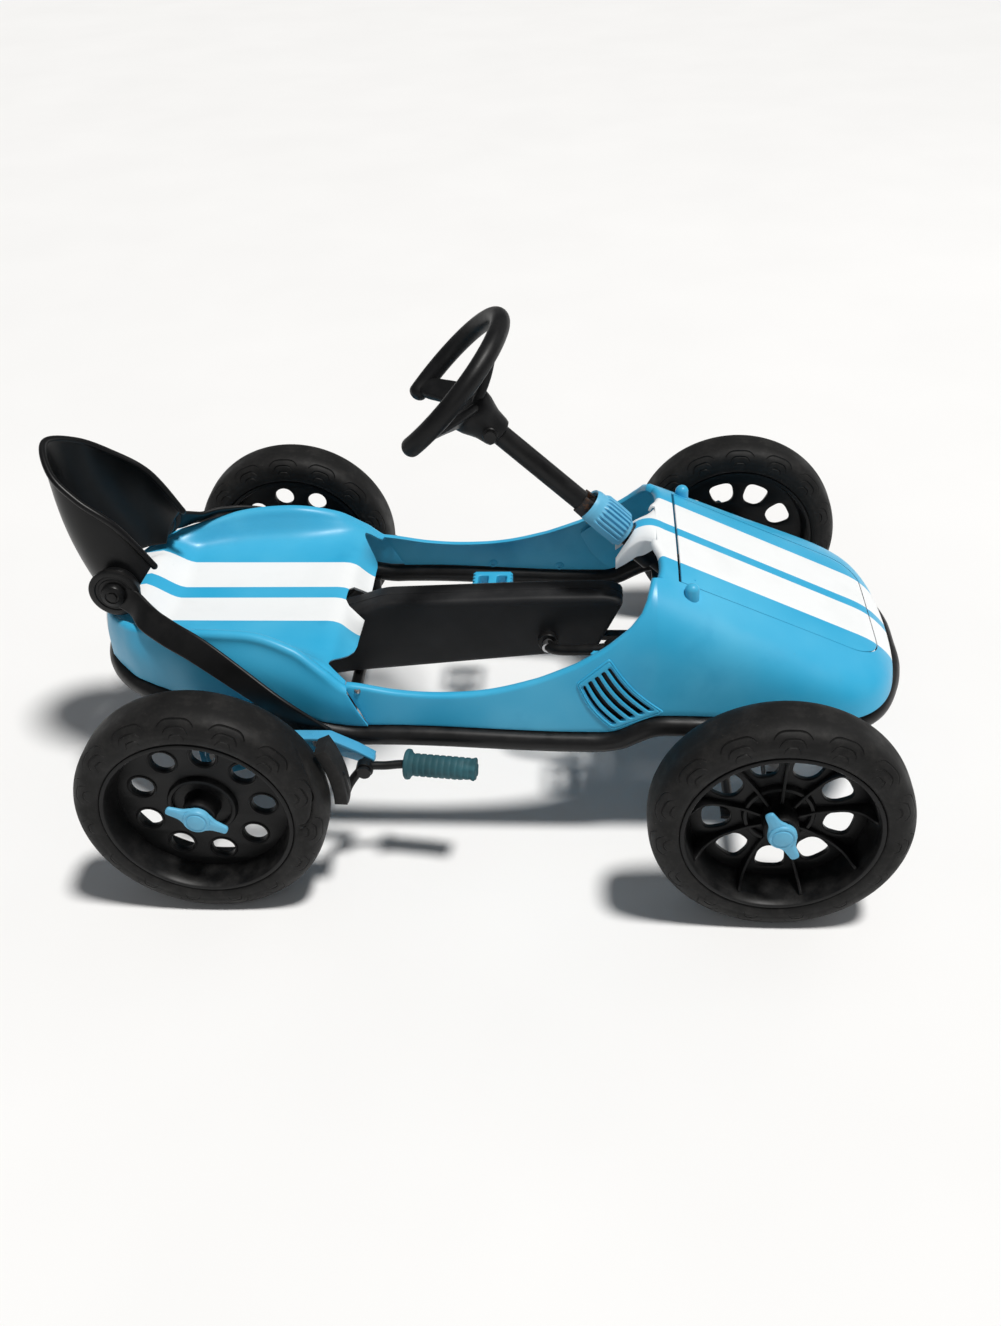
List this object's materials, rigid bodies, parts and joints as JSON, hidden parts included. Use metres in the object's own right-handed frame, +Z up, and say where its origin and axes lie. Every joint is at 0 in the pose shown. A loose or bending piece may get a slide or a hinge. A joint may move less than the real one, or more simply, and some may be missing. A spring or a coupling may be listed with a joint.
{
  "type": "pedal go-kart",
  "caption": "Child's pedal go-kart: tube frame, moulded racing body with seat, folding steering column, chain drive, tilting seat back, hand brake and disc-like plastic wheels.",
  "frame": {"origin": "on the ground under the middle of the kart's length and width", "axes": "+X points forward, +Y to the driver's left, +Z up"},
  "size_m": [0.9161, 0.612, 0.527],
  "materials": {
    "frame_black": "satin black paint, lightly scuffed",
    "body_blue": "moulded sky-blue plastic with white stripes, slightly faded",
    "bracket_blue": "blue powder coat, worn at the edges",
    "black_plastic": "grained black plastic, dusty",
    "dark_screw": "blackened screws",
    "rusty_steel": "plain steel with rust",
    "light_blue_plastic": "moulded light-blue plastic, scuffed",
    "plain_steel": "zinc-plated steel, dull",
    "case_grey": "dark grey moulded plastic, scuffed",
    "rim_black": "moulded black plastic, dusty",
    "tyre_rubber": "charcoal rubber with curved grooves, dusty tread",
    "grip_teal": "teal rubber, worn",
    "shoe_rubber": "dark grey rubber block"
  },
  "bodies": {
    "frame": {"frame_nose_hoop": "frame_black", "frame_rail_left": "frame_black", "frame_rail_right": "frame_black", "frame_tail_hoop": "frame_black", "crossmember_front": "frame_black", "crossmember_middle": "frame_black", "crossmember_rear": "frame_black", "front_axle_beam": "frame_black", "rear_bracket_left": "bracket_blue", "rear_bracket_right": "bracket_blue", "body_front": "body_blue", "body_seat": "body_blue", "lid_hinge_pins": "body_blue", "body_screws": "dark_screw", "seat_arm_left": "frame_black", "seat_arm_right": "frame_black", "seat_pivot_bolts": "black_plastic", "column_bush": "black_plastic", "kingpins": "plain_steel", "chain_case_left": "case_grey", "chain_case_right": "case_grey", "chain": "plain_steel", "rear_bearings": "plain_steel", "brake_pivot_bolt": "plain_steel"},
    "lid": {"bonnet_lid": "body_blue", "lid_hinge_eyes": "body_blue"},
    "back_rest": {"seat_back": "black_plastic"},
    "steering_shaft": {"column_lower": "frame_black", "column_fold_pin": "rusty_steel"},
    "latch": {"column_latch": "light_blue_plastic"},
    "steering_head": {"column_upper": "frame_black", "steering_wheel": "black_plastic", "steering_wheel_screw": "dark_screw"},
    "track_rod": {"tie_rod": "frame_black"},
    "steering_left": {"knuckle_left": "plain_steel", "wing_nut_front_left": "light_blue_plastic"},
    "steering_right": {"knuckle_right": "plain_steel", "wing_nut_front_right": "light_blue_plastic"},
    "wheel_front_left": {"rim_front_left": "rim_black", "tyre_front_left": "tyre_rubber"},
    "wheel_front_right": {"rim_front_right": "rim_black", "tyre_front_right": "tyre_rubber"},
    "wheel_rear_left": {"rim_rear_left": "rim_black", "tyre_rear_left": "tyre_rubber"},
    "driven_axle": {"rear_axle": "plain_steel", "rear_sprocket": "plain_steel", "rim_rear_right": "rim_black", "tyre_rear_right": "tyre_rubber", "wing_nuts_rear": "light_blue_plastic"},
    "crank_set": {"crank_axle": "plain_steel", "crank_sprocket": "plain_steel", "crank_arm_left": "frame_black", "crank_arm_right": "frame_black"},
    "foot_left": {"pedal_left": "body_blue"},
    "foot_right": {"pedal_right": "body_blue"},
    "hand_brake": {"brake_lever": "frame_black", "brake_grip": "grip_teal", "brake_shoe": "shoe_rubber"}
  },
  "joints": [
    {"name": "lid_open", "type": "hinge", "parent": "frame", "child": "lid", "pos_m": [0.222, 0, 0.263], "axis": [0, -1, 0], "range_deg": [0, 75]},
    {"name": "back_tilt", "type": "hinge", "parent": "frame", "child": "back_rest", "pos_m": [-0.384, 0, 0.262], "axis": [0, 1, 0], "range_deg": [-15, 85]},
    {"name": "steer", "type": "hinge", "parent": "frame", "child": "steering_shaft", "pos_m": [0.122, 0, 0.3104], "axis": [-0.7266, 0, 0.6871], "range_deg": [-30, 30]},
    {"name": "latch_slide", "type": "slide", "parent": "steering_shaft", "child": "latch", "axis": [-0.7266, 0, 0.6871], "range_m": [0, 0.01]},
    {"name": "column_fold", "type": "hinge", "parent": "steering_shaft", "child": "steering_head", "pos_m": [0.122, 0, 0.3104], "axis": [0, 1, 0], "range_deg": [-45, 0]},
    {"name": "track_rod_slide", "type": "slide", "parent": "frame", "child": "track_rod", "axis": [0, -1, 0], "range_m": [-0.0175, 0.0175]},
    {"name": "kingpin_left", "type": "hinge", "parent": "frame", "child": "steering_left", "pos_m": [0.302, 0.222, 0.127], "axis": [0, 0, 1], "range_deg": [-24, 24]},
    {"name": "kingpin_right", "type": "hinge", "parent": "frame", "child": "steering_right", "pos_m": [0.302, -0.222, 0.127], "axis": [0, 0, 1], "range_deg": [-24, 24]},
    {"name": "front_left_spin", "type": "hinge", "parent": "steering_left", "child": "wheel_front_left", "pos_m": [0.302, 0.273, 0.127], "axis": [0, 1, 0], "continuous": true},
    {"name": "front_right_spin", "type": "hinge", "parent": "steering_right", "child": "wheel_front_right", "pos_m": [0.302, -0.273, 0.127], "axis": [0, 1, 0], "continuous": true},
    {"name": "rear_left_spin", "type": "hinge", "parent": "frame", "child": "wheel_rear_left", "pos_m": [-0.268, 0.26, 0.127], "axis": [0, 1, 0], "continuous": true},
    {"name": "rear_axle_spin", "type": "hinge", "parent": "frame", "child": "driven_axle", "pos_m": [-0.268, 0, 0.127], "axis": [0, 1, 0], "continuous": true},
    {"name": "crank_spin", "type": "hinge", "parent": "frame", "child": "crank_set", "pos_m": [0.072, 0, 0.162], "axis": [0, 1, 0], "continuous": true},
    {"name": "pedal_left_spin", "type": "hinge", "parent": "crank_set", "child": "foot_left", "pos_m": [0.0007, 0, 0.15198], "axis": [0, 1, 0], "continuous": true},
    {"name": "pedal_right_spin", "type": "hinge", "parent": "crank_set", "child": "foot_right", "pos_m": [0.1433, 0, 0.17202], "axis": [0, 1, 0], "continuous": true},
    {"name": "brake_pull", "type": "hinge", "parent": "frame", "child": "hand_brake", "pos_m": [-0.112, -0.196, 0.126], "axis": [0, -1, 0], "range_deg": [0, 4]}
  ],
  "couplings": [
    {"joint": "track_rod_slide", "follows": "steer", "m_per_rad": 0.033},
    {"joint": "kingpin_left", "follows": "steer", "ratio": 0.786},
    {"joint": "kingpin_right", "follows": "steer", "ratio": 0.786},
    {"joint": "crank_spin", "follows": "rear_axle_spin", "ratio": 1}
  ]
}
